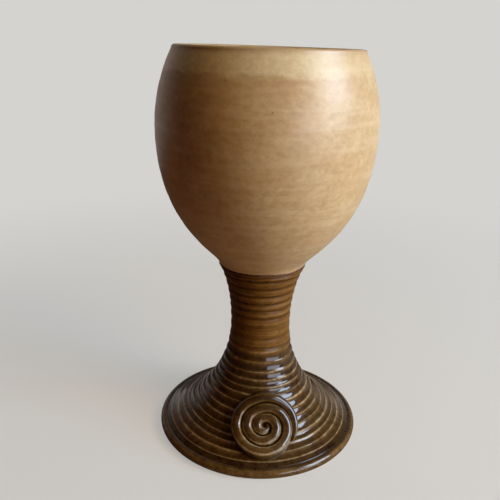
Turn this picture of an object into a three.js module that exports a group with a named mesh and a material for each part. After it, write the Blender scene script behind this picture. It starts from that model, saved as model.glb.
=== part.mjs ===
// A thrown stoneware chalice: a round bowl luted with slip onto a ringed trumpet foot,
// and a rolled clay coil wound into a spiral on the front of the foot.
// Millimetres, +Z up. The origin is on the table under the middle of the foot; the spiral faces -Y.
import * as THREE from 'three';

// Bowl, with heights measured up from its flat base
const BASE_RADIUS = 19.1;
const NECK_REACH = 4.5; // how far the wall rises straight before it swells
const BELLY_RADIUS = 45.4;
const BELLY_RISE = 57.4;
const SIDE_REACH = 41.5; // how far the wall stays upright below the belly
const SHOULDER_REACH = 15.5; // how far it would stay upright above the belly before it turns in
const RIM_RADIUS = 38.3;
const WALL_RISE = 87.8; // up to where the lip rounds over
const LIP_THICKNESS = 3.2;
const LIP_CROWN = 1.2;
const BELLY_WALL = 4.4;
const FLOOR_THICKNESS = 5.5;
const INSIDE_REACH = 34; // how far the inside stays upright below the belly
const FLOOR_REACH = 22; // how far the inside floor stays level around the axis

// Stem and foot: one trumpet, hollow from below
const STEM_HEIGHT = 79.9;
const STEM_TOP_RADIUS = BASE_RADIUS;
const STEM_REACH = 17.5; // how far the stem stays upright above its waist
const WAIST_RADIUS = 13.4;
const WAIST_HEIGHT = 50.9;
const ANKLE_REACH = 8.5; // how far it stays upright below the waist
const SLOPE_REACH = 30.5; // how far the foot's slope runs straight up from its edge
const SLOPE_ANGLE = THREE.MathUtils.degToRad(27.3);
const FOOT_RADIUS = 46;
const EDGE_THICKNESS = 4.2;
const EDGE_TURN = THREE.MathUtils.degToRad(110); // where the slope meets the rounded edge
const TRUMPET_WALL = 5;
const STANDING_RING_WIDTH = 5.5;
const HOLLOW_LAND = 1.5; // straight step at each end of the hollow

// Throwing rings, counted down the stem from its top edge
const FIRST_RING = 1.9;
const RING_ZONES = [
  { rings: 6, step: 3.65 },
  { rings: 5, step: 4.1 },
  { rings: 4, step: 3.4 },
  { rings: 2, step: 3.8 },
  { rings: 6, step: 3.42 },
];
const STEM_RING_DEPTH = 0.45;
const FOOT_RING_DEPTH = 0.65;
const STEM_GROOVE_POWER = 2.5; // round ridges between narrow grooves
const FOOT_GROOVE_POWER = 0.8; // thin crests between wide scoops

// Spiral coil, wound on the slope and tapering at both ends
const SPIRAL_UP_SLOPE = 17.3; // its middle, up the slope from the rounded edge
const TURN_STEP = 4.5;
const TURN_GAP = 0.6;
const COIL_HEIGHT = 3.2;
const INNER_END_TURN = 0.26; // turns out from the middle of the spiral
const TAIL_END_TURN = 3.15;
const TAIL_ANGLE = THREE.MathUtils.degToRad(-25); // from the right, positive up the slope
const INNER_TAPER_TURNS = 0.35;
const INNER_END_SHARE = 0.6;
const TAIL_TAPER_TURNS = 0.4;
const TAIL_END_SHARE = 0.35;

// Slip in the two luted joints
const CLEARANCE = 0.3;
const JOINT_SLIP = 0.5;
const SPIRAL_SLIP = 0.6;
const SLIP_SETBACK = 0.4; // how far the joint's slip stays behind the outer surface

// Fineness of the facets
const SEGMENTS = 40;
const CURVE_POINTS = 14;
const ARC_POINTS = 6;
const RING_SAMPLES = 3;
const STEPS_PER_TURN = 24;
const SLIP_RINGS = 4;
const SLOPE_SAMPLES = 400;
const PRESS_STEPS = 40;

const tanGlaze = new THREE.MeshStandardMaterial({ color: '#b18c5f', roughness: 0.5, metalness: 0 });
const brownGlaze = new THREE.MeshStandardMaterial({ color: '#5d4626', roughness: 0.25, metalness: 0 });
const firedSlip = new THREE.MeshStandardMaterial({ color: '#8a6a4a', roughness: 0.8, metalness: 0 });

const COIL_WIDTH = TURN_STEP - TURN_GAP;
const COIL_LIFT = 2 * CLEARANCE + SPIRAL_SLIP;
const BOWL_BASE = STEM_HEIGHT + JOINT_SLIP + 2 * CLEARANCE;
const RIM_HEIGHT = BOWL_BASE + WALL_RISE;
const BELLY_HEIGHT = BOWL_BASE + BELLY_RISE;

const at = (radius, height) => new THREE.Vector2(radius, height);

// Turns a profile of (radius, height) points about the Z axis
function turned(name, profile, material) {
  const geometry = new THREE.LatheGeometry(profile, SEGMENTS);
  geometry.rotateX(Math.PI / 2);
  return named(name, geometry, material);
}

function named(name, geometry, material) {
  const mesh = new THREE.Mesh(geometry, material);
  mesh.name = name;
  return mesh;
}

// Points on an arc of an ellipse, without its first point
function arcPoints(center, radiusX, radiusY, from, to) {
  return Array.from({ length: ARC_POINTS }, (_, i) => {
    const angle = from + ((to - from) * (i + 1)) / ARC_POINTS;
    return at(center.x + radiusX * Math.cos(angle), center.y + radiusY * Math.sin(angle));
  });
}

// The wall from the rim down to the belly, outside or inside
function shoulder(rimRadius, bellyRadius) {
  return new THREE.QuadraticBezierCurve(
    at(rimRadius, RIM_HEIGHT),
    at(bellyRadius, BELLY_HEIGHT + SHOULDER_REACH),
    at(bellyRadius, BELLY_HEIGHT),
  );
}

function bowl() {
  const outerSide = new THREE.CubicBezierCurve(
    at(BASE_RADIUS, BOWL_BASE),
    at(BASE_RADIUS, BOWL_BASE + NECK_REACH),
    at(BELLY_RADIUS, BELLY_HEIGHT - SIDE_REACH),
    at(BELLY_RADIUS, BELLY_HEIGHT),
  );
  const innerBelly = BELLY_RADIUS - BELLY_WALL;
  const floor = BOWL_BASE + FLOOR_THICKNESS;
  const innerSide = new THREE.CubicBezierCurve(
    at(innerBelly, BELLY_HEIGHT),
    at(innerBelly, BELLY_HEIGHT - INSIDE_REACH),
    at(FLOOR_REACH, floor),
    at(0, floor),
  );
  const lipMiddle = at(RIM_RADIUS - LIP_THICKNESS / 2, RIM_HEIGHT);
  const profile = [
    at(0, BOWL_BASE),
    ...outerSide.getSpacedPoints(CURVE_POINTS),
    ...shoulder(RIM_RADIUS, BELLY_RADIUS).getSpacedPoints(ARC_POINTS).reverse().slice(1),
    ...arcPoints(lipMiddle, LIP_THICKNESS / 2, LIP_CROWN, 0, Math.PI),
    ...shoulder(RIM_RADIUS - LIP_THICKNESS, innerBelly).getSpacedPoints(ARC_POINTS).slice(1),
    ...innerSide.getSpacedPoints(CURVE_POINTS).slice(1),
  ];
  return turned('bowl', profile, tanGlaze);
}

// The smooth line that the ring crests touch, from the stem's top edge down to the rounded edge
function trumpetLine() {
  const edgeMiddle = at(FOOT_RADIUS - EDGE_THICKNESS / 2, EDGE_THICKNESS / 2);
  const slopeEnd = at(
    edgeMiddle.x + (EDGE_THICKNESS / 2) * Math.cos(EDGE_TURN),
    edgeMiddle.y + (EDGE_THICKNESS / 2) * Math.sin(EDGE_TURN),
  );
  const line = new THREE.CurvePath();
  line.add(new THREE.QuadraticBezierCurve(
    at(STEM_TOP_RADIUS, STEM_HEIGHT),
    at(WAIST_RADIUS, WAIST_HEIGHT + STEM_REACH),
    at(WAIST_RADIUS, WAIST_HEIGHT),
  ));
  line.add(new THREE.CubicBezierCurve(
    at(WAIST_RADIUS, WAIST_HEIGHT),
    at(WAIST_RADIUS, WAIST_HEIGHT - ANKLE_REACH),
    at(slopeEnd.x - SLOPE_REACH * Math.cos(SLOPE_ANGLE), slopeEnd.y + SLOPE_REACH * Math.sin(SLOPE_ANGLE)),
    slopeEnd,
  ));
  return { line, length: line.getLength(), edgeMiddle };
}

const trumpet = trumpetLine();

// A place on the trumpet line, at a distance down it, with its outward normal
function trumpetPlace(distance) {
  const share = THREE.MathUtils.clamp(distance / trumpet.length, 0, 1);
  const point = trumpet.line.getPointAt(share);
  const along = trumpet.line.getTangentAt(share);
  return { point, normal: at(-along.y, along.x) };
}

// Distances of the ring crests down the trumpet line, with its two ends
function ringCrests() {
  const crests = [0, FIRST_RING];
  for (const zone of RING_ZONES) {
    for (let i = 0; i < zone.rings; i += 1) {
      crests.push(crests.at(-1) + zone.step);
    }
  }
  const room = trumpet.length - FIRST_RING;
  return [...crests.filter((crest) => crest < room), trumpet.length];
}

function ringedSurface() {
  const crests = ringCrests();
  const points = [];
  crests.slice(1).forEach((crest, i) => {
    for (let k = 0; k < RING_SAMPLES; k += 1) {
      const between = k / RING_SAMPLES;
      const distance = THREE.MathUtils.lerp(crests[i], crest, between);
      const down = distance / trumpet.length;
      const power = THREE.MathUtils.lerp(STEM_GROOVE_POWER, FOOT_GROOVE_POWER, down);
      const depth = THREE.MathUtils.lerp(STEM_RING_DEPTH, FOOT_RING_DEPTH, down);
      const { point, normal } = trumpetPlace(distance);
      points.push(point.addScaledVector(normal, -depth * Math.sin(Math.PI * between) ** power));
    }
  });
  return [...points, trumpetPlace(trumpet.length).point];
}

// The hollow's wall from the standing ring up to the open top
function hollowSurface() {
  const points = [];
  for (let i = 0; i <= CURVE_POINTS; i += 1) {
    const { point, normal } = trumpetPlace(trumpet.length * (1 - i / CURVE_POINTS));
    points.push(point.addScaledVector(normal, -TRUMPET_WALL));
  }
  return points.filter((point) => point.y > HOLLOW_LAND && point.y < STEM_HEIGHT - HOLLOW_LAND);
}

function stemFoot() {
  const { edgeMiddle } = trumpet;
  const edgeRadius = EDGE_THICKNESS / 2;
  const top = at(STEM_TOP_RADIUS - TRUMPET_WALL, STEM_HEIGHT);
  const profile = [
    top,
    ...hollowSurface().reverse(),
    at(edgeMiddle.x - STANDING_RING_WIDTH, 0),
    ...arcPoints(edgeMiddle, edgeRadius, edgeRadius, EDGE_TURN, -Math.PI / 2).reverse(),
    ...ringedSurface().reverse(),
    top,
  ];
  return turned('stem_foot', profile, brownGlaze);
}

function jointSlip() {
  const outer = STEM_TOP_RADIUS - SLIP_SETBACK;
  const inner = STEM_TOP_RADIUS - TRUMPET_WALL + SLIP_SETBACK;
  const bottom = STEM_HEIGHT + CLEARANCE;
  const top = bottom + JOINT_SLIP;
  return turned('joint_slip', [
    at(inner, bottom), at(outer, bottom), at(outer, top), at(inner, top), at(inner, bottom),
  ], firedSlip);
}

// The slope as samples down the trumpet line, for finding the surface at a height
const slopeSamples = Array.from({ length: SLOPE_SAMPLES + 1 }, (_, i) => (
  trumpetPlace((trumpet.length * i) / SLOPE_SAMPLES)
));

function slopeAtHeight(height) {
  const below = slopeSamples.findIndex((sample) => sample.point.y <= height);
  if (below <= 0) return slopeSamples.at(below === 0 ? 0 : -1);
  const [a, b] = [slopeSamples[below - 1], slopeSamples[below]];
  const share = (a.point.y - height) / (a.point.y - b.point.y);
  return { point: a.point.clone().lerp(b.point, share), normal: a.normal.clone().lerp(b.normal, share) };
}

const spiralMiddle = trumpetPlace(trumpet.length - SPIRAL_UP_SLOPE);

// A place of the flat spiral, pressed square onto the slope and lifted off it by a height
function pressed(across, up, lift) {
  const { point, normal } = spiralMiddle;
  const facing = new THREE.Vector3(0, -normal.x, normal.y);
  const upSlope = new THREE.Vector3(0, normal.y, normal.x);
  const start = new THREE.Vector3(across, -point.x, point.y).addScaledVector(upSlope, up);
  const place = new THREE.Vector3();
  let inside = -FOOT_RADIUS / 2;
  let outside = FOOT_RADIUS / 2;
  for (let i = 0; i < PRESS_STEPS; i += 1) {
    const middle = (inside + outside) / 2;
    place.copy(start).addScaledVector(facing, middle);
    if (Math.hypot(place.x, place.y) < slopeAtHeight(place.z).point.x) {
      inside = middle;
    } else {
      outside = middle;
    }
  }
  const local = slopeAtHeight(place.z).normal.clone().normalize();
  const radius = Math.hypot(place.x, place.y);
  const away = new THREE.Vector3((place.x / radius) * local.x, (place.y / radius) * local.x, local.y);
  return place.addScaledVector(away, lift);
}

// One closed skin around rings of points, with a fan over each end
function skinned(name, rings, material) {
  const sides = rings[0].length;
  const middles = [rings[0], rings.at(-1)].map((ring) => (
    ring.reduce((sum, point) => sum.add(point), new THREE.Vector3()).divideScalar(sides)
  ));
  const points = [...rings.flat(), ...middles];
  const index = [];
  for (let side = 0; side < sides; side += 1) {
    const next = (side + 1) % sides;
    for (let i = 0; i + 1 < rings.length; i += 1) {
      const ring = i * sides;
      index.push(ring + side, ring + next, ring + sides + next);
      index.push(ring + side, ring + sides + next, ring + sides + side);
    }
    const last = (rings.length - 1) * sides;
    index.push(rings.length * sides, next, side);
    index.push(rings.length * sides + 1, last + side, last + next);
  }
  const geometry = new THREE.BufferGeometry().setFromPoints(points);
  geometry.setIndex(index);
  geometry.computeVertexNormals();
  return named(name, geometry, material);
}

// The coil's section as (side, height) shares of its width and height: a flat underside and a domed top
const COIL_SECTION = [[0.4, 0], [0.5, 0.4], [0.36, 0.82], [0, 1], [-0.36, 0.82], [-0.5, 0.4], [-0.4, 0]];

// Shares of the full thickness that the two tapers leave at a turn
function innerShare(turn) {
  const grown = THREE.MathUtils.smoothstep(turn, INNER_END_TURN, INNER_END_TURN + INNER_TAPER_TURNS);
  return THREE.MathUtils.lerp(INNER_END_SHARE, 1, grown);
}

function tailShare(turn) {
  const faded = THREE.MathUtils.smoothstep(turn, TAIL_END_TURN - TAIL_TAPER_TURNS, TAIL_END_TURN);
  return THREE.MathUtils.lerp(1, TAIL_END_SHARE, faded);
}

function coilRings() {
  const steps = Math.round((TAIL_END_TURN - INNER_END_TURN) * STEPS_PER_TURN);
  return Array.from({ length: steps + 1 }, (_, i) => {
    const turn = THREE.MathUtils.lerp(INNER_END_TURN, TAIL_END_TURN, i / steps);
    const angle = TAIL_ANGLE + 2 * Math.PI * (TAIL_END_TURN - turn);
    const share = innerShare(turn) * tailShare(turn);
    // The tail narrows from its outer side, so it stays beside the turn within it
    const middle = TURN_STEP * turn - (COIL_WIDTH / 2) * (1 - tailShare(turn));
    return COIL_SECTION.map(([side, height]) => {
      const radius = middle + side * share * COIL_WIDTH;
      const lift = COIL_LIFT + height * share * COIL_HEIGHT;
      return pressed(radius * Math.cos(angle), radius * Math.sin(angle), lift);
    });
  });
}

// The least gap between one turn of the coil and the next
function leastTurnGap(rings) {
  let least = Infinity;
  rings.forEach((ring, i) => {
    const nextTurns = rings.slice(i + STEPS_PER_TURN / 2).flat();
    for (const point of ring) {
      for (const other of nextTurns) {
        least = Math.min(least, point.distanceTo(other));
      }
    }
  });
  return least;
}

function spiralCoil() {
  const rings = coilRings();
  console.log(`spiral coil: least gap between turns ${leastTurnGap(rings).toFixed(2)} mm`);
  return skinned('spiral_coil', rings, brownGlaze);
}

// A thin bed of slip under the coil, as rings of points over its top and back under it
function spiralSlip() {
  const bedRadius = TURN_STEP * (TAIL_END_TURN - 1);
  const ringAt = (radius, lift) => Array.from({ length: STEPS_PER_TURN }, (_, i) => {
    const angle = (2 * Math.PI * i) / STEPS_PER_TURN;
    return pressed(radius * Math.cos(angle), radius * Math.sin(angle), lift);
  });
  const radii = Array.from({ length: SLIP_RINGS }, (_, i) => (bedRadius * (i + 1)) / SLIP_RINGS);
  const rings = [
    ...radii.map((radius) => ringAt(radius, CLEARANCE)),
    ...radii.reverse().map((radius) => ringAt(radius, CLEARANCE + SPIRAL_SLIP)),
  ];
  return skinned('spiral_slip', rings, firedSlip);
}

const chalice = new THREE.Group();
chalice.add(bowl(), jointSlip(), stemFoot(), spiralSlip(), spiralCoil());

export default chalice;
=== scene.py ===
import math

import bpy
import numpy as np
from mathutils import Matrix, Vector


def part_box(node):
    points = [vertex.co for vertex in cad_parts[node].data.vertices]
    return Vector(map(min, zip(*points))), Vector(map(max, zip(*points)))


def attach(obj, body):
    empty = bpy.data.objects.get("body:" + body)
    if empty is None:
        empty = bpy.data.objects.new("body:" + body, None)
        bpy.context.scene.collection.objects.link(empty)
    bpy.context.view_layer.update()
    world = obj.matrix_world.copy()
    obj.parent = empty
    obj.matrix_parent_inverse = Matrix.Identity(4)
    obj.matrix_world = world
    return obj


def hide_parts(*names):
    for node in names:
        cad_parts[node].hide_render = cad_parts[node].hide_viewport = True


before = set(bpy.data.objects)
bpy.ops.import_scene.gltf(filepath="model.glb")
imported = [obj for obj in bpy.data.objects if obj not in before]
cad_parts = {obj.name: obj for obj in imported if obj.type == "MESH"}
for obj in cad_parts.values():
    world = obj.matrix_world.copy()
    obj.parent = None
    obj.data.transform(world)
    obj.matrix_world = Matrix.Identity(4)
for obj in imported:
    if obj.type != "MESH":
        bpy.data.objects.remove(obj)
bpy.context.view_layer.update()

MM = 0.001

# Sizes read from the frame, in millimetres
BOWL_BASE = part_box("bowl")[0].z / MM
LIP_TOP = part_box("bowl")[1].z / MM
BELLY_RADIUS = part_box("bowl")[1].x / MM
STEM_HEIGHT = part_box("stem_foot")[1].z / MM
FOOT_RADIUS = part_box("stem_foot")[1].x / MM

# Bowl, as the solid has it, in millimetres
BASE_RADIUS = 19.1
NECK_REACH = 4.5
BELLY_RISE = 57.4
SIDE_REACH = 41.5
SHOULDER_REACH = 15.5
RIM_RADIUS = 38.3
LIP_THICKNESS = 3.2
LIP_CROWN = 1.2
BELLY_WALL = 4.4
FLOOR_THICKNESS = 5.5
INSIDE_REACH = 34.0
FLOOR_REACH = 22.0
BASE_ROUNDING = 0.5

# Hand-thrown unevenness of the bowl: each throwing line has a wavelength, a depth and a turn
THROWING_LINES = ((9.7, 0.035, 0.3), (5.3, 0.022, 1.9), (3.1, 0.012, 4.0))
LINE_DRIFT = 0.5
LINE_DRIFT_TURN = 0.8
OVALNESS = 0.12
OVAL_TURN = 0.6
RELIEF_SHARE = 0.8
RELIEF_FADE = (BASE_RADIUS - 1.0, BASE_RADIUS + 4.0)
RIM_DIP = 0.7
RIM_DIP_ANGLE = math.radians(130)
RIM_DIP_REACH = 20.0

# Stem and foot, as the solid has them
STEM_REACH = 17.5
WAIST_RADIUS = 13.4
WAIST_HEIGHT = 50.9
ANKLE_REACH = 8.5
SLOPE_REACH = 30.5
SLOPE_ANGLE = math.radians(27.3)
EDGE_THICKNESS = 4.2
EDGE_TURN = math.radians(110)
TRUMPET_WALL = 5.0
STANDING_RING_WIDTH = 5.5
STANDING_RING_CHAMFER = 0.4
HOLLOW_LAND = 1.5

# Throwing rings: the steps from crest to crest down the stem and out over the foot, and their forms
RING_STEPS = (
    2.2, 3.8, 4.0, 4.0, 3.7, 3.5, 4.0, 4.9, 5.2, 3.4, 4.6, 4.4,
    3.5, 3.0, 3.1, 3.7, 4.1, 3.4, 3.5, 3.7, 2.9, 3.4, 3.6,
)
STEM_RING_DEPTH = 0.54
WAIST_RING_DEPTH = 0.27
WAIST_RINGS = (21.0, 27.0)
GROOVE_ROUNDNESS = 0.4
FOOT_RINGS_START = 33.0
FOOT_RINGS_FULL = 46.0
SCOOP_DEPTH = 0.18
RIDGE_HEIGHT = 0.22
RIDGE_SHARPNESS = 16
GUTTER_DEPTH = 0.2
GUTTER_START = 0.9
OUTER_RINGS = (76.0, 81.5)
OUTER_RING_SHARE = 0.15
FINE_LINES = ((1.35, 0.4), (0.87, 2.1), (2.1, 3.6))
FINE_DEPTH = 0.014

# Unevenness of the rings: each wave has a count around the axis, a share and a turn from ring to ring
UNEVEN_DEPTH = ((2, 0.12, 2.4), (5, 0.08, 1.3))
RING_WANDER = 0.13
WANDER_WAVES = ((1, 1.0, 1.7), (3, 0.6, 2.9), (7, 0.3, 5.1), (13, 0.16, 3.7))
WANDER_START = 4.0

# Spiral coil, counted in turns from its middle outwards
SPIRAL_UP_SLOPE = 16.85
SPIRAL_STRETCH = 1.045
SPIRAL_SHIFT = 0.25
TURN_STEP = 4.43
INNER_END_TURN = -0.15
INNER_FULL_TURN = 0.65
INNER_END_SHARE = 0.25
INNER_DRIFT = (-0.55, 0.4)
INNER_DRIFT_TURNS = 2.4
TAIL_END_TURN = 3.15
TAIL_ANGLE = math.radians(-24)
TAIL_TAPER_TURNS = 0.27
TAIL_END_SHARE = 0.5
OUTER_TURN = (TAIL_END_TURN - 1.1, TAIL_END_TURN - 0.9)
END_ROUNDING = 0.09
END_SHARE = 0.12
THIN_HEIGHT_SHARE = 0.45
COIL_TOP = 4.6
COIL_GROOVE = 2.1
COIL_SUNK = 0.8
COIL_TOUCH = 0.985
COIL_FULLNESS = 0.94
COIL_FLARE = 0.09
FLANK_SHARES = (0.5, 0.2)
FLANK_FLARE = (1.0, 1.0, 0.3, 0.0)

# Joints
JOINT_DROP = 0.5
JOINT_WAVE = 0.16
JOINT_WAVES = ((2, 1.0, 0.9), (5, 0.6, 2.2), (9, 0.4, 0.0))
JOINT_WAVE_REACH = 3.0
STEM_TUCK = 0.12
STEM_TUCK_REACH = 1.8
SLIP_SETBACK = 0.2
SLIP_ROUNDING = (0.3, 0.25)
BED_TURNS_BACK = 0.5
BED_SETBACK = 1.0
BED_TOP_SHARE = 0.8

# Fineness of the meshes and of the curves they are taken from
BOWL_COLUMNS = 240
BOWL_SPACING = 0.6
INSIDE_SPACING = 0.96
LIP_POINTS = 17
ROUNDING_POINTS = 8
LONG_CURVE = 400
SHORT_CURVE = 200
STEM_CURVE = 600
FOOT_CURVE = 900
FOOT_COLUMNS = 184
RING_ROWS = 18
RIDGE_CROWDING = 0.11
EDGE_POINTS = 24
HOLLOW_SPACING = 2.0
SLOPE_SPACING = 0.2
HALVINGS = 40
COIL_STEPS = 96
COIL_SIDES = 36
BED_RINGS = 8
BED_COLUMNS = 72
FLOOR_COLUMNS = 96

# Lightness of the brown glaze, low where it pools and high where it runs thin, and painted light and shade
STEM_LIGHT = 0.72
STEM_GROOVE_SHADE = 0.28
FINE_LINE_SHADE = 0.03
FOOT_LIGHT = 0.57
POOL_SHADE = 0.34
POOL_RISE = (0.1, 0.6)
POOL_FALL = (0.75, 1.0)
POOL_FALL_SHARE = 0.4
GUTTER_POOL = 1.25
RIDGE_LIGHT = 0.35
ANKLE_SHARPNESS = 6.0
SHARPENING = (44.0, 66.0)
ANKLE_SHADE = 0.13
ANKLE_SHADE_FADE = (66.0, FOOT_RINGS_FULL)
EDGE_LIGHT = 0.58
EDGE_SHADE = 0.33
EDGE_SHADE_TURN = (math.radians(55), math.radians(80))
INSIDE_LIGHT = 0.4
COIL_DOME_LIGHT = 0.35
COIL_SHOULDER_LIGHT = 0.66
COIL_SHOULDER = 0.36
COIL_SHOULDER_WIDTH = 0.11
# Painted light: how much lighter the coil is on its lower turns and darker on its upper ones
COIL_PAINTED_LIGHT_FALL = 0.018
COIL_END_LIGHT = 0.3

# Heights between which the foot's glaze ends in bare clay, in the hollow and on the edge
BARE_INSIDE = (9.0, 4.0)
BARE_EDGE = (0.7, 0.3)

# Noise patterns of the materials: scale, detail, roughness, and the share of the scale around the axis
TAN_MOTTLE = (480, 3.0, 0.6, 0.75)
TAN_CLOUDS = (210, 3.0, 0.55, 0.6)
TAN_BLUSH = (65, 2.0, 0.5, 1.0)
TAN_STREAKS = (330, 2.0, 0.5, 0.08)
TAN_DRIPS = (130, 2.0, 0.5, 1.0)
BROWN_CLOUDS = (380, 4.0, 0.65, 1.0)
BROWN_HUE = (60, 2.0, 0.5, 1.0)
BROWN_LINES = (900, 3.0, 0.65, 0.06)
GLAZE_GRAIN = (1500, 2.0, 0.5, 1.0)
SLIP_GRAIN = (700, 3.0, 0.5, 1.0)

# Colours in 8-bit sRGB at places along a pattern: the bowl's height, the lightness and the grain
TAN_BODY = (
    (0.0, (205, 168, 121)), (0.3, (203, 166, 118)), (0.6, (203, 166, 118)), (0.845, (202, 164, 117)),
    (0.886, (192, 152, 105)), (0.904, (230, 209, 164)), (1.0, (230, 207, 163)),
)
BROWN_BODY = (
    (0.0, (26, 12, 4)), (0.3, (70, 43, 18)), (0.55, (95, 67, 34)), (0.75, (126, 92, 51)),
    (1.0, (174, 150, 118)),
)
SLIP_BODY = ((0.3, (74, 40, 20)), (0.7, (112, 70, 38)))

# Tints over a glaze: colour, where in the pattern it starts and is full, and its share; the first in metres
# Painted shade: towards the lit right side the bowl turns back to the body's colour, so the pale band fades
# there
TAN_BAND_PAINTED_SHADE = ((204, 166, 119), -0.004, 0.026, 0.8)
TAN_PINK = ((206, 158, 116), 0.4, 0.65, 0.18)
TAN_PALE = ((226, 196, 148), 0.43, 0.66, 0.34)
TAN_STREAK = ((230, 200, 156), 0.45, 0.75, 0.32)
TAN_GRAIN = ((158, 116, 74), 0.45, 0.8, 0.2)
TAN_LIP = ((160, 116, 74), LIP_TOP - 3.4, LIP_TOP - 0.2, 0.5)
BROWN_OLIVE = ((88, 64, 30), 0.4, 0.65, 0.3)
BROWN_GRAIN = ((52, 29, 11), 0.5, 0.8, 0.3)

# Other looks of the tan glaze; four numbers are a pattern's start and end and the values there
DRIP_LENGTH = 5.0
FRECKLE_COLOUR = (178, 136, 90)
FRECKLE_RISE = (0.35, 0.7, 0.0, 0.5)
FRECKLE_THINNING = (0.87, 0.92, 1.0, 0.6)
PINHOLE_COLOUR = (104, 66, 34)
PINHOLE_SCALE = 110
PINHOLE_RADIUS = 0.045
PINHOLE_SHADE = 0.6
TAN_ROUGHNESS = (0.3, 0.7, 0.35, 0.43)
TAN_SPECULAR = 0.45
TAN_BUMP = 0.5
STREAK_BUMP = 0.5
MOTTLE_BUMP = 0.25

# Other looks of the brown glaze; two numbers are the values on the foot and on the stem
LINE_STRENGTH = (0.15, 0.4)
CLOUD_STRENGTH = (0.9, 0.4)
COAT_WEIGHT = (0.85, 0.05)
COAT_ROUGHNESS = 0.04
COAT_END = 0.6
STEM_TONE = (1.0, 0.83, 0.56, 1.0)
DARK_CLAY = (150, 122, 90)
PALE_CLAY = (186, 158, 122)
CLAY_ROUGHNESS = 0.8
BROWN_ROUGHNESS = (0.3, 0.7, 0.26, 0.38)
BROWN_SPECULAR = 0.1
BROWN_BUMP = 0.3
LINE_BUMP = 0.6

# Other looks of the slip, and the depth of every bump in millimetres
SLIP_ROUGHNESS = 0.6
SLIP_SPECULAR = 0.2
SLIP_BUMP = 0.5
BUMP_DISTANCE = 0.1

# Stage, in metres and 8-bit sRGB
FLOOR_RADIUS = 3.0
FLOOR_DROP = 0.00005
FLOOR_COLOUR = (236, 222, 208)
FLOOR_ROUGHNESS = 0.9
FLOOR_FADE = (0.05, 0.5)
FLOOR_GLOW = 0.6
NEAR_BOUNCE = (252, 228, 196)
FAR_BOUNCE = (122, 64, 27)
BOUNCE_MIDDLE = (0.061, -0.045)
BOUNCE_FADE = (0.07, 0.18)
DIM_SIDE_SHEEN = (44, 30, 19)
DAY_SIDE_SHEEN = (160, 140, 122)
DAY_SIDE = (0.03, 0.14)
BACKGROUND_COLOUR = (212, 211, 208)
BACKGROUND_START = (0.28, 0.62)
BACKGROUND_TURN = (0.2, 0.95)
BACKGROUND_RISE = (0.05, 0.45)
BACKGROUND_SHEEN = 0.75
BACKGROUND_HIGH_SHEEN = 0.27

# Light in linear colours; lamps have angles from the front and from level, distance, size, power and colour
FILL_COLOUR = (1.0, 0.42, 0.17, 1.0)
FILL_STRENGTH = 0.018
DAYLIGHT = (0.45, 0.7, 1.0)
WARM_LIGHT = (1.0, 0.88, 0.8)
LAMPS = (
    ("window", 67, 29, 0.9, (0.44, 0.47), 8.8, (0.62, 0.79, 1.0)),
    ("day", 68, 17, 0.9, (0.4, 0.46), 10.9, DAYLIGHT),
    ("sill", 41, 5, 0.9, (0.69, 0.42), 4.5, (0.76, 0.86, 1.0)),
    ("room", 50, 31, 1.1, (0.45, 0.5), 7.2, (1.0, 0.76, 0.37)),
    ("side", 105, 2, 1.3, (1.2, 0.9), 6.0, DAYLIGHT),
    ("back", -155, 8, 1.3, (1.4, 1.0), 5.5, WARM_LIGHT),
    ("ceiling", -50, 75, 1.2, (0.8, 0.8), 0.6, WARM_LIGHT),
)
SHINING_LAMPS = ("window", "sill")

# Camera at the photograph's viewing angle, in millimetres and pixels of a square image
CAMERA_PLACE = (-25.7, -249.1, 173.2)
CAMERA_YAW = math.radians(4.63)
CAMERA_PITCH = math.radians(19.42)
CAMERA_ROLL = math.radians(1.45)
FOCAL_PIXELS = 605.7
IMAGE_PIXELS = 500
SENSOR_WIDTH = 36.0
NEAREST_SEEN = 0.01


# Curves and meshes

def smooth_step(low, high, value):
    """A smooth rise from 0 at low to 1 at high, which may lie below low."""
    share = np.clip((value - low) / (high - low), 0.0, 1.0)
    return share * share * (3.0 - 2.0 * share)


def bezier(points, count):
    """Points along a Bezier curve with these control points."""
    share = np.linspace(0.0, 1.0, count)[:, None]
    layers = [np.array(point, float) for point in points]
    while len(layers) > 1:
        layers = [a + (b - a) * share for a, b in zip(layers, layers[1:])]
    return layers[0]


def arc(middle, radius_x, radius_y, start, end, count):
    """Points along part of an ellipse."""
    angle = np.linspace(start, end, count)
    return np.column_stack([middle[0] + radius_x * np.cos(angle), middle[1] + radius_y * np.sin(angle)])


def lengths_along(curve):
    """How far each point lies along a curve from its start."""
    steps = np.linalg.norm(np.diff(curve, axis=0), axis=1)
    return np.concatenate([[0.0], np.cumsum(steps)])


def joined(*curves):
    """Curves end to end, each one's first point left out after the first curve."""
    return np.vstack([curves[0]] + [curve[1:] for curve in curves[1:]])


def at_lengths(curve, wanted):
    """Points of a curve at these distances along it."""
    distance = lengths_along(curve)
    return np.column_stack([np.interp(wanted, distance, curve[:, k]) for k in (0, 1)])


def evenly(curve, spacing):
    """Points along a curve at about this spacing."""
    total = lengths_along(curve)[-1]
    return at_lengths(curve, np.linspace(0.0, total, max(2, round(total / spacing) + 1)))


def normals_of(curve):
    """Normals on the right of a curve's direction of travel."""
    tangent = np.gradient(curve, axis=0)
    tangent /= np.linalg.norm(tangent, axis=1)[:, None]
    return np.column_stack([tangent[:, 1], -tangent[:, 0]])


def around(count):
    """This many angles, evenly spaced all the way round."""
    return np.linspace(0.0, 2 * math.pi, count, endpoint=False)


def ripple(angle, waves, ring=1):
    """A sum of waves around the axis, turned further for each ring."""
    return sum(share * np.sin(count * angle + turn * ring) for count, share, turn in waves)


def round_points(radius, height, angle):
    """Points of rings with these radii and heights, one row for each, at angles from the front."""
    radius, height, angle = np.broadcast_arrays(radius, height, angle)
    return np.stack([radius * np.sin(angle), -radius * np.cos(angle), height], axis=-1)


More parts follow.
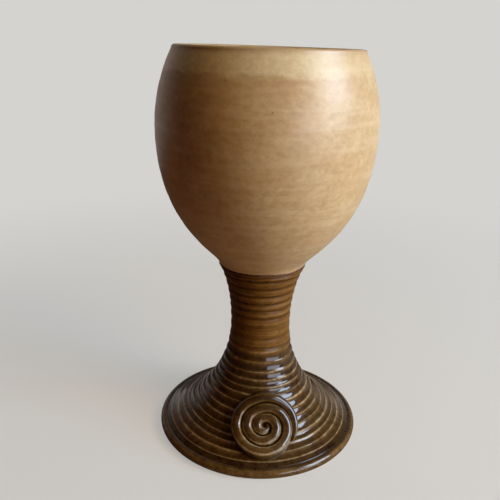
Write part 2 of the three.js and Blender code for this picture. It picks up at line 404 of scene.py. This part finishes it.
def grid_faces(rows, columns, close_rows=False):
    """Quads over a grid whose columns go round; the rows join up too where they are closed."""
    faces = []
    for i in range(rows if close_rows else rows - 1):
        row = i * columns
        above = (i + 1) % rows * columns
        for j in range(columns):
            after = (j + 1) % columns
            faces.append((row + j, row + after, above + after, above + j))
    return faces


def capped(points):
    """Points and faces of a grid whose columns go round, with a fan over each end."""
    rows, columns = points.shape[:2]
    middles = [points[0].mean(axis=0), points[-1].mean(axis=0)]
    first_middle = rows * columns
    last_middle = first_middle + 1
    last_row = first_middle - columns
    faces = grid_faces(rows, columns)
    for j in range(columns):
        after = (j + 1) % columns
        faces.append((first_middle, after, j))
        faces.append((last_middle, last_row + j, last_row + after))
    return np.vstack([points.reshape(-1, 3), middles]), faces


def piece(name, points, faces, material, node, layers=()):
    """One mesh piece from points in millimetres, standing for a CAD node."""
    mesh = bpy.data.meshes.new(name)
    mesh.from_pydata((points * MM).tolist(), [], faces)
    mesh.update()
    mesh.shade_smooth()
    for layer, values in layers:
        attribute = mesh.attributes.new(layer, "FLOAT", "POINT")
        attribute.data.foreach_set("value", np.asarray(values, np.float32))
    mesh.materials.append(material)
    made = bpy.data.objects.new(name, mesh)
    bpy.context.scene.collection.objects.link(made)
    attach(made, "root")
    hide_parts(node)


# Shape of the bowl

def bowl_profile():
    """The bowl's section from the middle of its base, over the lip, to the middle of its floor."""
    base_height = BOWL_BASE - JOINT_DROP
    belly_height = BOWL_BASE + BELLY_RISE
    rim_height = LIP_TOP - LIP_CROWN
    inner_belly = BELLY_RADIUS - BELLY_WALL
    floor = BOWL_BASE + FLOOR_THICKNESS
    half_lip = LIP_THICKNESS / 2
    corner = (BASE_RADIUS - BASE_ROUNDING, base_height + BASE_ROUNDING)
    base = np.array([(BASE_ROUNDING, base_height), (corner[0], base_height)])
    rounding = arc(corner, BASE_ROUNDING, BASE_ROUNDING, -math.pi / 2, 0.0, ROUNDING_POINTS)
    side = bezier([
        (BASE_RADIUS, base_height), (BASE_RADIUS, BOWL_BASE + NECK_REACH),
        (BELLY_RADIUS, belly_height - SIDE_REACH), (BELLY_RADIUS, belly_height),
    ], LONG_CURVE)
    side = side[side[:, 1] > corner[1]]
    shoulder = bezier([
        (BELLY_RADIUS, belly_height), (BELLY_RADIUS, belly_height + SHOULDER_REACH),
        (RIM_RADIUS, rim_height),
    ], SHORT_CURVE)
    lip = arc((RIM_RADIUS - half_lip, rim_height), half_lip, LIP_CROWN, 0.0, math.pi, LIP_POINTS)
    inside = bezier([
        (RIM_RADIUS - LIP_THICKNESS, rim_height), (inner_belly, belly_height + SHOULDER_REACH),
        (inner_belly, belly_height),
    ], SHORT_CURVE)
    hollow = bezier([
        (inner_belly, belly_height), (inner_belly, belly_height - INSIDE_REACH),
        (FLOOR_REACH, floor), (BASE_ROUNDING, floor),
    ], LONG_CURVE)
    outer = evenly(joined(side, shoulder), BOWL_SPACING)
    inner = evenly(joined(inside, hollow), INSIDE_SPACING)
    return joined(base, rounding, np.vstack([rounding[-1:], outer]), lip, inner)


def bowl_relief(profile, angle):
    """How far the wall stands out at each place: faint throwing lines on a slightly oval bowl."""
    drift = lengths_along(profile)[:, None] + LINE_DRIFT * np.sin(angle + LINE_DRIFT_TURN)
    lines = sum(depth * np.sin(2 * math.pi * drift / wave + turn) for wave, depth, turn in THROWING_LINES)
    return lines + OVALNESS * np.cos(2 * angle + OVAL_TURN)


def rim_dip(angle):
    """How far the rim, cut a little aslant, lies below its highest place."""
    return RIM_DIP * (0.5 + 0.5 * np.cos(angle - RIM_DIP_ANGLE)) ** 2


def joint_wave(angle):
    """How the glaze's edge at the joint rises and falls around the stem."""
    return JOINT_WAVE * ripple(angle, JOINT_WAVES)


def make_bowl(material):
    profile = bowl_profile()
    angle = around(BOWL_COLUMNS)
    normal = normals_of(profile)
    level = profile[:, 1:]
    relief = bowl_relief(profile, angle) * smooth_step(*RELIEF_FADE, profile[:, :1]) * RELIEF_SHARE
    radius = profile[:, :1] + normal[:, :1] * relief
    height = np.minimum(level + normal[:, 1:] * relief, LIP_TOP)
    height = height + joint_wave(angle) * smooth_step(BOWL_BASE + JOINT_WAVE_REACH, BOWL_BASE, level)
    height = height - rim_dip(angle) * smooth_step(LIP_TOP - RIM_DIP_REACH, LIP_TOP, level)
    points, faces = capped(round_points(radius, height, angle))
    piece("bowl_shell", points, faces, material, "bowl")


# Shape of the stem and foot

def trumpet_line():
    """The line that the ring crests touch, from the stem's top edge down to the foot's rounded edge."""
    half_edge = EDGE_THICKNESS / 2
    edge = (FOOT_RADIUS - half_edge, half_edge)
    end = (edge[0] + half_edge * math.cos(EDGE_TURN), edge[1] + half_edge * math.sin(EDGE_TURN))
    slope = (end[0] - SLOPE_REACH * math.cos(SLOPE_ANGLE), end[1] + SLOPE_REACH * math.sin(SLOPE_ANGLE))
    waist = (WAIST_RADIUS, WAIST_HEIGHT)
    above_waist = (WAIST_RADIUS, WAIST_HEIGHT + STEM_REACH)
    below_waist = (WAIST_RADIUS, WAIST_HEIGHT - ANKLE_REACH)
    upper = bezier([(BASE_RADIUS, STEM_HEIGHT), above_waist, waist], STEM_CURVE)
    lower = bezier([waist, below_waist, slope, end], FOOT_CURVE)
    return joined(upper, lower), edge


TRUMPET, EDGE_MIDDLE = trumpet_line()
TRUMPET_LENGTH = lengths_along(TRUMPET)[-1]


def ring_crests():
    """Distances of the ring crests down the trumpet line, with the line's two ends."""
    return np.concatenate([[0.0], np.cumsum(RING_STEPS), [TRUMPET_LENGTH]])


def fine_lines(down):
    """Fine lines that a wet finger leaves around the stem."""
    return sum(np.sin(2 * math.pi * down / wave + turn) for wave, turn in FINE_LINES)


def stem_depth(down):
    """Depth of the grooves on the stem, shallower towards its waist."""
    return STEM_RING_DEPTH + (WAIST_RING_DEPTH - STEM_RING_DEPTH) * smooth_step(*WAIST_RINGS, down)


def crest(between, sharpness, last):
    """1 on the crests and 0 between them; the last ring has no crest on its outer side."""
    return np.abs(np.cos(math.pi * between)) ** sharpness * (1 - last * (between > 0.5))


def ring_sunk(between, down, last):
    """How deep the surface lies under the crest line, from crest to crest.

    Up the stem the rings are round with narrow grooves. Over the foot they are scoops between thin ridges.
    """
    groove = np.sin(math.pi * between) ** 2
    stem = stem_depth(down) * (GROOVE_ROUNDNESS * groove + (1 - GROOVE_ROUNDNESS) * groove ** 3)
    stem = stem + FINE_DEPTH * (fine_lines(down) + len(FINE_LINES))
    shallow = 1 - (1 - OUTER_RING_SHARE) * smooth_step(*OUTER_RINGS, down)
    ridge = crest(between, RIDGE_SHARPNESS, last)
    foot = shallow * (SCOOP_DEPTH * np.sin(math.pi * between) + RIDGE_HEIGHT * (1 - ridge))
    foot = foot + GUTTER_DEPTH * last * smooth_step(GUTTER_START, 1.0, between)
    return stem + (foot - stem) * smooth_step(FOOT_RINGS_START, FOOT_RINGS_FULL, down)


def ring_light(between, down, last):
    """How light the glaze is from crest to crest: thin on the crests and pooled below each of them."""
    groove = np.sin(math.pi * between) ** 2
    stem = STEM_LIGHT - STEM_GROOVE_SHADE * stem_depth(down) / STEM_RING_DEPTH * groove ** 2
    stem = stem - FINE_LINE_SHADE * fine_lines(down)
    draining = 1 - POOL_FALL_SHARE * smooth_step(*POOL_FALL, between)
    pooled = smooth_step(*POOL_RISE, between) * draining * (1 - last) + GUTTER_POOL * last
    sharpness = ANKLE_SHARPNESS + (RIDGE_SHARPNESS - ANKLE_SHARPNESS) * smooth_step(*SHARPENING, down)
    thin = crest(between, sharpness, last)
    foot = FOOT_LIGHT - POOL_SHADE * pooled + (RIDGE_LIGHT + POOL_SHADE * pooled) * thin
    foot = foot - ANKLE_SHADE * smooth_step(*ANKLE_SHADE_FADE, down)
    return stem + (foot - stem) * smooth_step(FOOT_RINGS_START, FOOT_RINGS_FULL, down)


def ring_rows():
    """Each row's ring, share of the way to the next crest and distance down; rows crowd at the ridges."""
    crests = ring_crests()
    ring = np.repeat(np.arange(len(crests) - 1), RING_ROWS)
    steps = np.tile(np.arange(RING_ROWS) / RING_ROWS, len(crests) - 1)
    crowding = RIDGE_CROWDING * smooth_step(FOOT_RINGS_START, FOOT_RINGS_FULL, crests[ring])
    between = np.append(steps - crowding * np.sin(2 * math.pi * steps), 1.0)
    ring = np.append(ring, ring[-1])
    return ring[:, None], between[:, None], (crests[ring] + between * np.diff(crests)[ring])[:, None]


def ringed_surface(angle):
    """Radius, height, lightness and lining over the rings, from the foot's edge up to the stem's top."""
    ring, between, down = ring_rows()
    last = ring == ring[-1]
    line = at_lengths(TRUMPET, down[:, 0])
    normal = -normals_of(line)
    along = np.column_stack([-normal[:, 1], normal[:, 0]])
    sunk = ring_sunk(between, down, last) * (1.0 + ripple(angle, UNEVEN_DEPTH, ring))
    sunk = sunk + STEM_TUCK * smooth_step(STEM_TUCK_REACH, 0.0, down)
    at_ends = smooth_step(0.0, WANDER_START, down) * smooth_step(0.0, WANDER_START, TRUMPET_LENGTH - down)
    wander = RING_WANDER * ripple(angle, WANDER_WAVES, ring) * at_ends
    radius = line[:, :1] - normal[:, :1] * sunk + along[:, :1] * wander
    height = line[:, 1:] - normal[:, 1:] * sunk + along[:, 1:] * wander
    height = height + (joint_wave(angle) - JOINT_DROP) * smooth_step(JOINT_WAVE_REACH, 0.0, down)
    light = ring_light(between, down, last)
    lined = smooth_step(FOOT_RINGS_FULL, FOOT_RINGS_START, down)
    return radius[::-1], height[::-1], light[::-1], lined[::-1]


def hollow_line():
    """The hollow's wall from the stem's open top down to the standing ring."""
    line = evenly(TRUMPET, HOLLOW_SPACING)
    wall = line + normals_of(line) * TRUMPET_WALL
    wall = wall[(wall[:, 1] > HOLLOW_LAND) & (wall[:, 1] < STEM_HEIGHT - HOLLOW_LAND)]
    top = (BASE_RADIUS - TRUMPET_WALL, STEM_HEIGHT - JOINT_DROP)
    ring_inside = EDGE_MIDDLE[0] - STANDING_RING_WIDTH
    chamfer = [(ring_inside, STANDING_RING_CHAMFER), (ring_inside + STANDING_RING_CHAMFER, 0.0)]
    return np.vstack([[top], wall, chamfer])


def make_foot(material):
    angle = around(FOOT_COLUMNS)
    radius, height, light, lined = ringed_surface(angle)
    inner = hollow_line()
    half_edge = EDGE_THICKNESS / 2
    edge = arc(EDGE_MIDDLE, half_edge, half_edge, -math.pi / 2, EDGE_TURN, EDGE_POINTS)[:-1]
    turn = np.linspace(-math.pi / 2, EDGE_TURN, EDGE_POINTS)[:-1]
    edge_light = EDGE_LIGHT - EDGE_SHADE * smooth_step(*EDGE_SHADE_TURN, turn)
    plain_light = np.concatenate([np.full(len(inner), INSIDE_LIGHT), edge_light])
    bare = np.concatenate([smooth_step(*BARE_INSIDE, inner[:, 1]), smooth_step(*BARE_EDGE, edge[:, 1])])
    plain = np.vstack([inner, edge])

    def spread(lower, upper):
        """Values for the plain rows and then the ringed ones, spread around the axis."""
        rings = np.broadcast_to(upper, radius.shape)
        return np.vstack([np.reshape(lower, (-1, 1)) * np.ones_like(angle), rings])

    points = round_points(spread(plain[:, 0], radius), spread(plain[:, 1], height), angle)
    faces = grid_faces(len(points), FOOT_COLUMNS, close_rows=True)
    layers = [
        ("light", spread(plain_light, light).ravel()),
        ("bare", spread(bare, 0.0).ravel()),
        ("lined", spread(np.zeros(len(plain)), lined).ravel()),
    ]
    piece("ringed_foot", points.reshape(-1, 3), faces, material, "stem_foot", layers)


# Shape of the joint's slip

def make_joint(material):
    outer = BASE_RADIUS - SLIP_SETBACK
    inner = BASE_RADIUS - TRUMPET_WALL + SLIP_SETBACK
    low = STEM_HEIGHT - JOINT_DROP
    high = BOWL_BASE - JOINT_DROP
    inward, upward = SLIP_ROUNDING
    profile = np.array([
        (inner, low), (outer - inward, low), (outer, low + upward),
        (outer, high - upward), (outer - inward, high), (inner, high),
    ])
    angle = around(FOOT_COLUMNS)
    points = round_points(profile[:, :1], profile[:, 1:] + joint_wave(angle), angle)
    faces = grid_faces(len(profile), FOOT_COLUMNS, close_rows=True)
    piece("joint_line", points.reshape(-1, 3), faces, material, "joint_slip")


# Shape of the spiral

SLOPE = evenly(TRUMPET, SLOPE_SPACING)[::-1]
SLOPE_NORMAL = normals_of(SLOPE)


def slope_at(height):
    """Radius and outward normal of the smooth slope at these heights."""
    return [np.interp(height, SLOPE[:, 1], column) for column in (SLOPE[:, 0], *SLOPE_NORMAL.T)]


def pressed(across, up, lift):
    """Places of the flat spiral pressed square onto the slope and lifted off it."""
    distance = TRUMPET_LENGTH - SPIRAL_UP_SLOPE
    middle = at_lengths(TRUMPET, np.array([distance]))[0]
    _, out, rise = slope_at(middle[1])
    facing = np.array([0.0, -out, rise])
    up_slope = np.array([0.0, rise, out])
    start = np.array([0.0, -middle[0], middle[1]]) + up[..., None] * up_slope
    start[..., 0] += across
    inside = np.full(across.shape, -FOOT_RADIUS / 2)
    outside = np.full(across.shape, FOOT_RADIUS / 2)
    for _ in range(HALVINGS):
        between = (inside + outside) / 2
        place = start + between[..., None] * facing
        within = np.hypot(place[..., 0], place[..., 1]) < slope_at(place[..., 2])[0]
        inside = np.where(within, between, inside)
        outside = np.where(within, outside, between)
    radius = np.hypot(place[..., 0], place[..., 1])
    _, out, rise = slope_at(place[..., 2])
    away = np.stack([place[..., 0] / radius * out, place[..., 1] / radius * out, rise], axis=-1)
    return place + away * lift[..., None]


def coil_section():
    """The coil's section as sides, heights, flare and lightness: a full dome on flanks that splay out."""
    angle = np.linspace(0.0, math.pi, COIL_SIDES)
    side = 0.5 * np.sign(np.cos(angle)) * np.abs(np.cos(angle)) ** COIL_FULLNESS
    dome = np.sin(angle) ** COIL_FULLNESS
    flank = [COIL_GROOVE * share for share in FLANK_SHARES] + [0.0, -COIL_SUNK]
    count = len(flank)
    height = np.concatenate([COIL_GROOVE + (COIL_TOP - COIL_GROOVE) * dome, flank, flank[::-1]])
    flare = np.concatenate([np.zeros(COIL_SIDES + count), FLANK_FLARE])
    shoulder = np.exp(-((np.abs(side) - COIL_SHOULDER) / COIL_SHOULDER_WIDTH) ** 2)
    dome_light = COIL_DOME_LIGHT * dome ** 2 + COIL_SHOULDER_LIGHT * shoulder
    # The flanks get no lightness: pooled glaze between the turns, and painted shade where the coil meets
    # the foot
    light = np.concatenate([dome_light, np.zeros(2 * count)])
    side = np.concatenate([side, np.full(count, -0.5), np.full(count, 0.5)])
    return side, height, flare, light


def coil_shares(turn):
    """Shares of the full width that the thin inner end, the tapering tail and the rounded ends leave."""
    inner = INNER_END_SHARE + (1 - INNER_END_SHARE) * smooth_step(INNER_END_TURN, INNER_FULL_TURN, turn)
    before_taper = np.clip((TAIL_END_TURN - turn) / TAIL_TAPER_TURNS, 0.0, 1.0)
    tail = TAIL_END_SHARE + (1 - TAIL_END_SHARE) * before_taper
    to_end = np.minimum(turn - INNER_END_TURN, TAIL_END_TURN - turn)
    rounded = np.sqrt(1 - (1 - np.clip(to_end / END_ROUNDING, 0.0, 1.0)) ** 2)
    return inner, tail, END_SHARE + (1 - END_SHARE) * rounded


def make_coil(material):
    steps = round((TAIL_END_TURN - INNER_END_TURN) * COIL_STEPS)
    turn = np.linspace(INNER_END_TURN, TAIL_END_TURN, steps + 1)[:, None]
    angle = TAIL_ANGLE + 2 * math.pi * (TAIL_END_TURN - turn)
    inner, tail, rounded = coil_shares(turn)
    side, height, flare, light = coil_section()
    middle = TURN_STEP * (turn + (1 - inner) / 2 - (1 - tail) / 2)
    width = inner * tail * rounded
    reach = side * width * COIL_TOUCH + COIL_FLARE * flare * smooth_step(*OUTER_TURN, turn) * tail
    radius = middle + TURN_STEP * reach
    height_share = THIN_HEIGHT_SHARE + (1 - THIN_HEIGHT_SHARE) * inner * tail
    lift = np.where(height > 0, height * height_share * rounded, height)
    drift = 1 - smooth_step(INNER_END_TURN, INNER_END_TURN + INNER_DRIFT_TURNS, turn)
    across = SPIRAL_SHIFT + radius * np.cos(angle) + INNER_DRIFT[0] * drift
    up = SPIRAL_STRETCH * radius * np.sin(angle) + INNER_DRIFT[1] * drift
    points, faces = capped(pressed(across, up, lift))
    # Painted light: the coil's lightness falls up the slope, lighter on the lower turns and darker on the
    # upper ones
    lights = np.concatenate([(light - COIL_PAINTED_LIGHT_FALL * up).ravel(), np.full(2, COIL_END_LIGHT)])
    piece("spiral_roll", points, faces, material, "spiral_coil", [("light", lights)])


def make_bed(material):
    """The slip under the coil, a thin round bed pressed into the rings."""
    outer = TURN_STEP * (TAIL_END_TURN - BED_TURNS_BACK) - BED_SETBACK
    radii = np.linspace(outer / BED_RINGS, outer, BED_RINGS)
    radius = np.concatenate([radii, radii[::-1]])[:, None]
    level = np.repeat([COIL_GROOVE * BED_TOP_SHARE, -COIL_SUNK], BED_RINGS)[:, None]
    angle = around(BED_COLUMNS)
    lift = level * np.ones_like(angle)
    points, faces = capped(pressed(radius * np.cos(angle), radius * np.sin(angle), lift))
    outward = [face[::-1] for face in faces]
    piece("spiral_bed", points, outward, material, "spiral_slip")


# Materials

def linear(red, green, blue):
    """A colour written as 8-bit sRGB, as the linear colour that nodes take."""
    channels = [value / 255 for value in (red, green, blue)]
    return [c / 12.92 if c <= 0.04045 else ((c + 0.055) / 1.055) ** 2.4 for c in channels] + [1.0]


class Graph:
    """Short calls for building the nodes of a material or a world."""

    def __init__(self, owner, output):
        owner.use_nodes = True
        self.tree = owner.node_tree
        self.tree.nodes.clear()
        self.output = self.add(output).inputs["Surface"]
        coordinates = self.add("ShaderNodeTexCoord")
        self.place = coordinates.outputs["Object"]
        self.direction = coordinates.outputs["Generated"]

    def add(self, kind, **settings):
        made = self.tree.nodes.new(kind)
        for name, value in settings.items():
            setattr(made, name, value)
        return made

    def feed(self, socket, value):
        if isinstance(value, bpy.types.NodeSocket):
            self.tree.links.new(value, socket)
        else:
            socket.default_value = value

    def maths(self, operation, a, b):
        made = self.add("ShaderNodeMath", operation=operation)
        self.feed(made.inputs[0], a)
        self.feed(made.inputs[1], b)
        return made.outputs[0]

    def axis(self, vector, name):
        split = self.add("ShaderNodeSeparateXYZ")
        self.feed(split.inputs[0], vector)
        return split.outputs[name]

    def far_from(self, x, y):
        """Distance from a place on the floor."""
        made = self.add("ShaderNodeVectorMath", operation="DISTANCE")
        self.feed(made.inputs[0], self.place)
        made.inputs[1].default_value = (x, y, 0.0)
        return made.outputs["Value"]

    def remap(self, value, low, high, to_low=0.0, to_high=1.0):
        """A smooth change from one number at low to another at high."""
        made = self.add("ShaderNodeMapRange", interpolation_type="SMOOTHSTEP")
        self.feed(made.inputs[0], value)
        for socket, number in zip(made.inputs[1:5], (low, high, to_low, to_high)):
            socket.default_value = number
        return made.outputs[0]

    def mix(self, factor, a, b, blend="MIX"):
        """Two colours mixed; a mix node's sockets for colours are found by their places."""
        made = self.add("ShaderNodeMix", data_type="RGBA", blend_type=blend)
        self.feed(made.inputs[0], factor)
        self.feed(made.inputs[6], a)
        self.feed(made.inputs[7], b)
        return made.outputs[2]

    def light(self, kind, colour, strength=1.0):
        made = self.add(kind)
        made.inputs["Color"].default_value = colour
        made.inputs["Strength"].default_value = strength
        return made.outputs[0]

    def blend(self, factor, a, b):
        """Two shaders mixed."""
        made = self.add("ShaderNodeMixShader")
        self.feed(made.inputs[0], factor)
        self.feed(made.inputs[1], a)
        self.feed(made.inputs[2], b)
        return made.outputs[0]


class Surface(Graph):
    """The nodes of one material."""

    def __init__(self, name):
        self.material = bpy.data.materials.new(name)
        super().__init__(self.material, "ShaderNodeOutputMaterial")
        self.shader = self.add("ShaderNodeBsdfPrincipled")
        self.feed(self.output, self.shader.outputs[0])

    def set(self, name, value):
        self.feed(self.shader.inputs[name], value)

    def attribute(self, name):
        return self.add("ShaderNodeAttribute", attribute_name=name).outputs["Fac"]

    def noise(self, scale, detail, rough, across):
        """Noise from 0 to 1, drawn out around the axis where across is below 1."""
        stretch = self.add("ShaderNodeVectorMath", operation="MULTIPLY")
        self.feed(stretch.inputs[0], self.place)
        stretch.inputs[1].default_value = (across, across, 1.0)
        made = self.add("ShaderNodeTexNoise")
        self.feed(made.inputs["Vector"], stretch.outputs[0])
        made.inputs["Scale"].default_value = scale
        made.inputs["Detail"].default_value = detail
        made.inputs["Roughness"].default_value = rough
        return made.outputs[0]

    def swing(self, noise, amount):
        """Noise that swings about zero by this amount."""
        return self.maths("MULTIPLY", self.maths("SUBTRACT", noise, 0.5), amount)

    def spots(self, scale, radius):
        """1 inside small round spots scattered at random, 0 outside them."""
        made = self.add("ShaderNodeTexVoronoi")
        self.feed(made.inputs["Vector"], self.place)
        made.inputs["Scale"].default_value = scale
        return self.remap(made.outputs["Distance"], radius / 2, radius, 1.0, 0.0)

    def ramp(self, factor, stops):
        made = self.add("ShaderNodeValToRGB")
        self.feed(made.inputs[0], factor)
        elements = made.color_ramp.elements
        while len(elements) < len(stops):
            elements.new(0.5)
        for element, (position, colour) in zip(elements, stops):
            element.position = position
            element.color = linear(*colour)
        return made.outputs[0]

    def tint(self, under, pattern, colour, start, full, share):
        """A colour laid over another as a pattern rises from start to full."""
        return self.mix(self.remap(pattern, start, full, 0.0, share), under, linear(*colour))

    def bump(self, height, strength):
        made = self.add("ShaderNodeBump")
        self.feed(made.inputs["Height"], height)
        made.inputs["Distance"].default_value = BUMP_DISTANCE * MM
        made.inputs["Strength"].default_value = strength
        self.set("Normal", made.outputs[0])


def tan_glaze():
    """Satin sand-coloured glaze: mottled, faintly lined by throwing, with a pale band below a brown lip."""
    g = Surface("tan_glaze")
    mottle = g.noise(*TAN_MOTTLE)
    clouds = g.noise(*TAN_CLOUDS)
    streaks = g.noise(*TAN_STREAKS)
    height = g.maths("MULTIPLY", g.axis(g.place, "Z"), 1 / MM)
    runs = g.swing(g.noise(*TAN_DRIPS), DRIP_LENGTH)
    above = g.maths("SUBTRACT", g.maths("ADD", height, runs), BOWL_BASE)
    share = g.maths("DIVIDE", above, LIP_TOP - BOWL_BASE)
    body = g.ramp(share, TAN_BODY)
    # Painted shade: the pale band fades into the body's colour towards the lit right side
    banded = g.tint(body, g.axis(g.place, "X"), *TAN_BAND_PAINTED_SHADE)
    pink = g.tint(banded, g.noise(*TAN_BLUSH), *TAN_PINK)
    pale = g.tint(pink, clouds, *TAN_PALE)
    freckles = g.maths("MULTIPLY", g.remap(mottle, *FRECKLE_RISE), g.remap(share, *FRECKLE_THINNING))
    freckled = g.mix(freckles, pale, linear(*FRECKLE_COLOUR))
    streaked = g.tint(freckled, streaks, *TAN_STREAK)
    grained = g.tint(streaked, g.noise(*GLAZE_GRAIN), *TAN_GRAIN)
    pinholes = g.maths("MULTIPLY", g.spots(PINHOLE_SCALE, PINHOLE_RADIUS), PINHOLE_SHADE)
    pierced = g.mix(pinholes, grained, linear(*PINHOLE_COLOUR))
    g.set("Base Color", g.tint(pierced, height, *TAN_LIP))
    g.set("Roughness", g.remap(clouds, *TAN_ROUGHNESS))
    g.set("Specular IOR Level", TAN_SPECULAR)
    lines = g.maths("MULTIPLY", streaks, STREAK_BUMP)
    g.bump(g.maths("ADD", lines, g.maths("MULTIPLY", mottle, MOTTLE_BUMP)), TAN_BUMP)
    return g.material


def brown_glaze():
    """Glossy olive-brown glaze: it runs thin and light over crests and pools dark in grooves."""
    g = Surface("brown_glaze")
    lined = g.attribute("lined")
    bare = g.attribute("bare")
    clouds = g.noise(*BROWN_CLOUDS)
    grain = g.noise(*GLAZE_GRAIN)
    streaked = g.swing(g.noise(*BROWN_LINES), g.remap(lined, 0.0, 1.0, *LINE_STRENGTH))
    cloudy = g.swing(clouds, g.remap(lined, 0.0, 1.0, *CLOUD_STRENGTH))
    light = g.maths("ADD", g.attribute("light"), g.maths("ADD", cloudy, streaked))
    body = g.ramp(light, BROWN_BODY)
    olive = g.tint(body, g.noise(*BROWN_HUE), *BROWN_OLIVE)
    grained = g.tint(olive, grain, *BROWN_GRAIN)
    ruddy = g.mix(lined, grained, STEM_TONE, "MULTIPLY")
    clay = g.mix(grain, linear(*DARK_CLAY), linear(*PALE_CLAY))
    g.set("Base Color", g.mix(bare, ruddy, clay))
    gloss = g.remap(clouds, *BROWN_ROUGHNESS)
    g.set("Roughness", g.maths("MAXIMUM", gloss, g.maths("MULTIPLY", bare, CLAY_ROUGHNESS)))
    g.set("Specular IOR Level", BROWN_SPECULAR)
    coated = g.remap(bare, 0.0, COAT_END, 1.0, 0.0)
    g.set("Coat Weight", g.maths("MULTIPLY", coated, g.remap(lined, 0.0, 1.0, *COAT_WEIGHT)))
    g.set("Coat Roughness", COAT_ROUGHNESS)
    g.bump(g.maths("ADD", g.maths("MULTIPLY", streaked, LINE_BUMP), clouds), BROWN_BUMP)
    return g.material


def fired_slip():
    """Dark fired slip with glaze drawn into it."""
    g = Surface("fired_slip")
    grain = g.noise(*SLIP_GRAIN)
    g.set("Base Color", g.ramp(grain, SLIP_BODY))
    g.set("Roughness", SLIP_ROUGHNESS)
    g.set("Specular IOR Level", SLIP_SPECULAR)
    g.bump(grain, SLIP_BUMP)
    return g.material


# Stage, light and camera

def pale_floor():
    """A pale floor that keeps the shadow near the chalice and runs out into the background's colour.

    Its bounced light is pale in front of the chalice on the right, and brown further off. In the gloss it
    is dim on the left, lighter on the right, and nearly as pale as the background behind the chalice.
    """
    g = Surface("floor")
    g.set("Roughness", FLOOR_ROUGHNESS)
    path = g.add("ShaderNodeLightPath").outputs
    further_off = g.remap(g.far_from(*BOUNCE_MIDDLE), *BOUNCE_FADE)
    bounce = g.mix(further_off, linear(*NEAR_BOUNCE), linear(*FAR_BOUNCE))
    to_day = g.remap(g.axis(g.place, "X"), *DAY_SIDE)
    sheen = g.mix(to_day, linear(*DIM_SIDE_SHEEN), linear(*DAY_SIDE_SHEEN))
    unseen = g.mix(path["Is Glossy Ray"], bounce, sheen)
    g.set("Base Color", g.mix(path["Is Camera Ray"], unseen, linear(*FLOOR_COLOUR)))
    glow = g.remap(g.far_from(0.0, 0.0), *FLOOR_FADE, FLOOR_GLOW, 1.0)
    seen = g.maths("MULTIPLY", glow, path["Is Camera Ray"])
    behind = g.remap(g.axis(g.place, "Y"), *BACKGROUND_START, 0.0, BACKGROUND_SHEEN)
    mirrored = g.maths("MULTIPLY", behind, path["Is Glossy Ray"])
    background = g.light("ShaderNodeEmission", linear(*BACKGROUND_COLOUR))
    g.feed(g.output, g.blend(g.maths("MAXIMUM", seen, mirrored), g.shader.outputs[0], background))
    return g.material


def make_floor(material):
    points = round_points(FLOOR_RADIUS, -FLOOR_DROP, around(FLOOR_COLUMNS))
    mesh = bpy.data.meshes.new("floor")
    mesh.from_pydata(points.tolist(), [], [tuple(range(len(points)))])
    mesh.materials.append(material)
    floor = bpy.data.objects.new("floor", mesh)
    bpy.context.scene.collection.objects.link(floor)


def make_world():
    """A dim warm room with a pale background, which the camera sees and the gloss mirrors from behind."""
    world = bpy.data.worlds.new("studio")
    bpy.context.scene.world = world
    g = Graph(world, "ShaderNodeOutputWorld")
    path = g.add("ShaderNodeLightPath").outputs
    sheen = g.remap(g.axis(g.direction, "Z"), *BACKGROUND_RISE, BACKGROUND_SHEEN, BACKGROUND_HIGH_SHEEN)
    behind = g.maths("MULTIPLY", g.remap(g.axis(g.direction, "Y"), *BACKGROUND_TURN), sheen)
    mirrored = g.maths("MULTIPLY", path["Is Glossy Ray"], behind)
    room = g.light("ShaderNodeBackground", FILL_COLOUR, FILL_STRENGTH)
    background = g.light("ShaderNodeBackground", linear(*BACKGROUND_COLOUR))
    g.feed(g.output, g.blend(g.maths("MAXIMUM", path["Is Camera Ray"], mirrored), room, background))


def area_lamp(name, azimuth, elevation, distance, size, power, colour):
    """A soft lamp aimed at the middle of the chalice, which either shines in its gloss or lights it."""
    lamp = bpy.data.lights.new(name, "AREA")
    lamp.shape = "RECTANGLE"
    lamp.size, lamp.size_y = size
    lamp.energy = power
    lamp.color = colour
    made = bpy.data.objects.new(name, lamp)
    aim = Vector((0.0, 0.0, LIP_TOP * MM / 2))
    level = math.cos(math.radians(elevation))
    way = Vector((
        level * math.sin(math.radians(azimuth)), -level * math.cos(math.radians(azimuth)),
        math.sin(math.radians(elevation)),
    ))
    made.visible_diffuse = name not in SHINING_LAMPS
    made.visible_glossy = name in SHINING_LAMPS
    made.location = aim + way * distance
    made.rotation_euler = way.to_track_quat("Z", "Y").to_euler()
    bpy.context.scene.collection.objects.link(made)


def make_camera():
    forward = Vector((
        math.sin(CAMERA_YAW) * math.cos(CAMERA_PITCH), math.cos(CAMERA_YAW) * math.cos(CAMERA_PITCH),
        -math.sin(CAMERA_PITCH),
    ))
    level = forward.cross(Vector((0, 0, 1))).normalized()
    above = level.cross(forward)
    right = level * math.cos(CAMERA_ROLL) + above * math.sin(CAMERA_ROLL)
    up = above * math.cos(CAMERA_ROLL) - level * math.sin(CAMERA_ROLL)
    lens = bpy.data.cameras.new("camera")
    lens.sensor_width = SENSOR_WIDTH
    lens.lens = SENSOR_WIDTH * FOCAL_PIXELS / IMAGE_PIXELS
    lens.clip_start = NEAREST_SEEN
    camera = bpy.data.objects.new("camera", lens)
    turn = Matrix((right, up, -forward)).transposed().to_4x4()
    camera.matrix_world = Matrix.Translation(Vector(CAMERA_PLACE) * MM) @ turn
    bpy.context.scene.collection.objects.link(camera)
    bpy.context.scene.camera = camera


bpy.context.scene.view_settings.view_transform = "Standard"
make_camera()
make_floor(pale_floor())
make_world()
for settings in LAMPS:
    area_lamp(*settings)
tan = tan_glaze()
brown = brown_glaze()
slip = fired_slip()
make_bowl(tan)
make_foot(brown)
make_joint(slip)
make_coil(brown)
make_bed(slip)
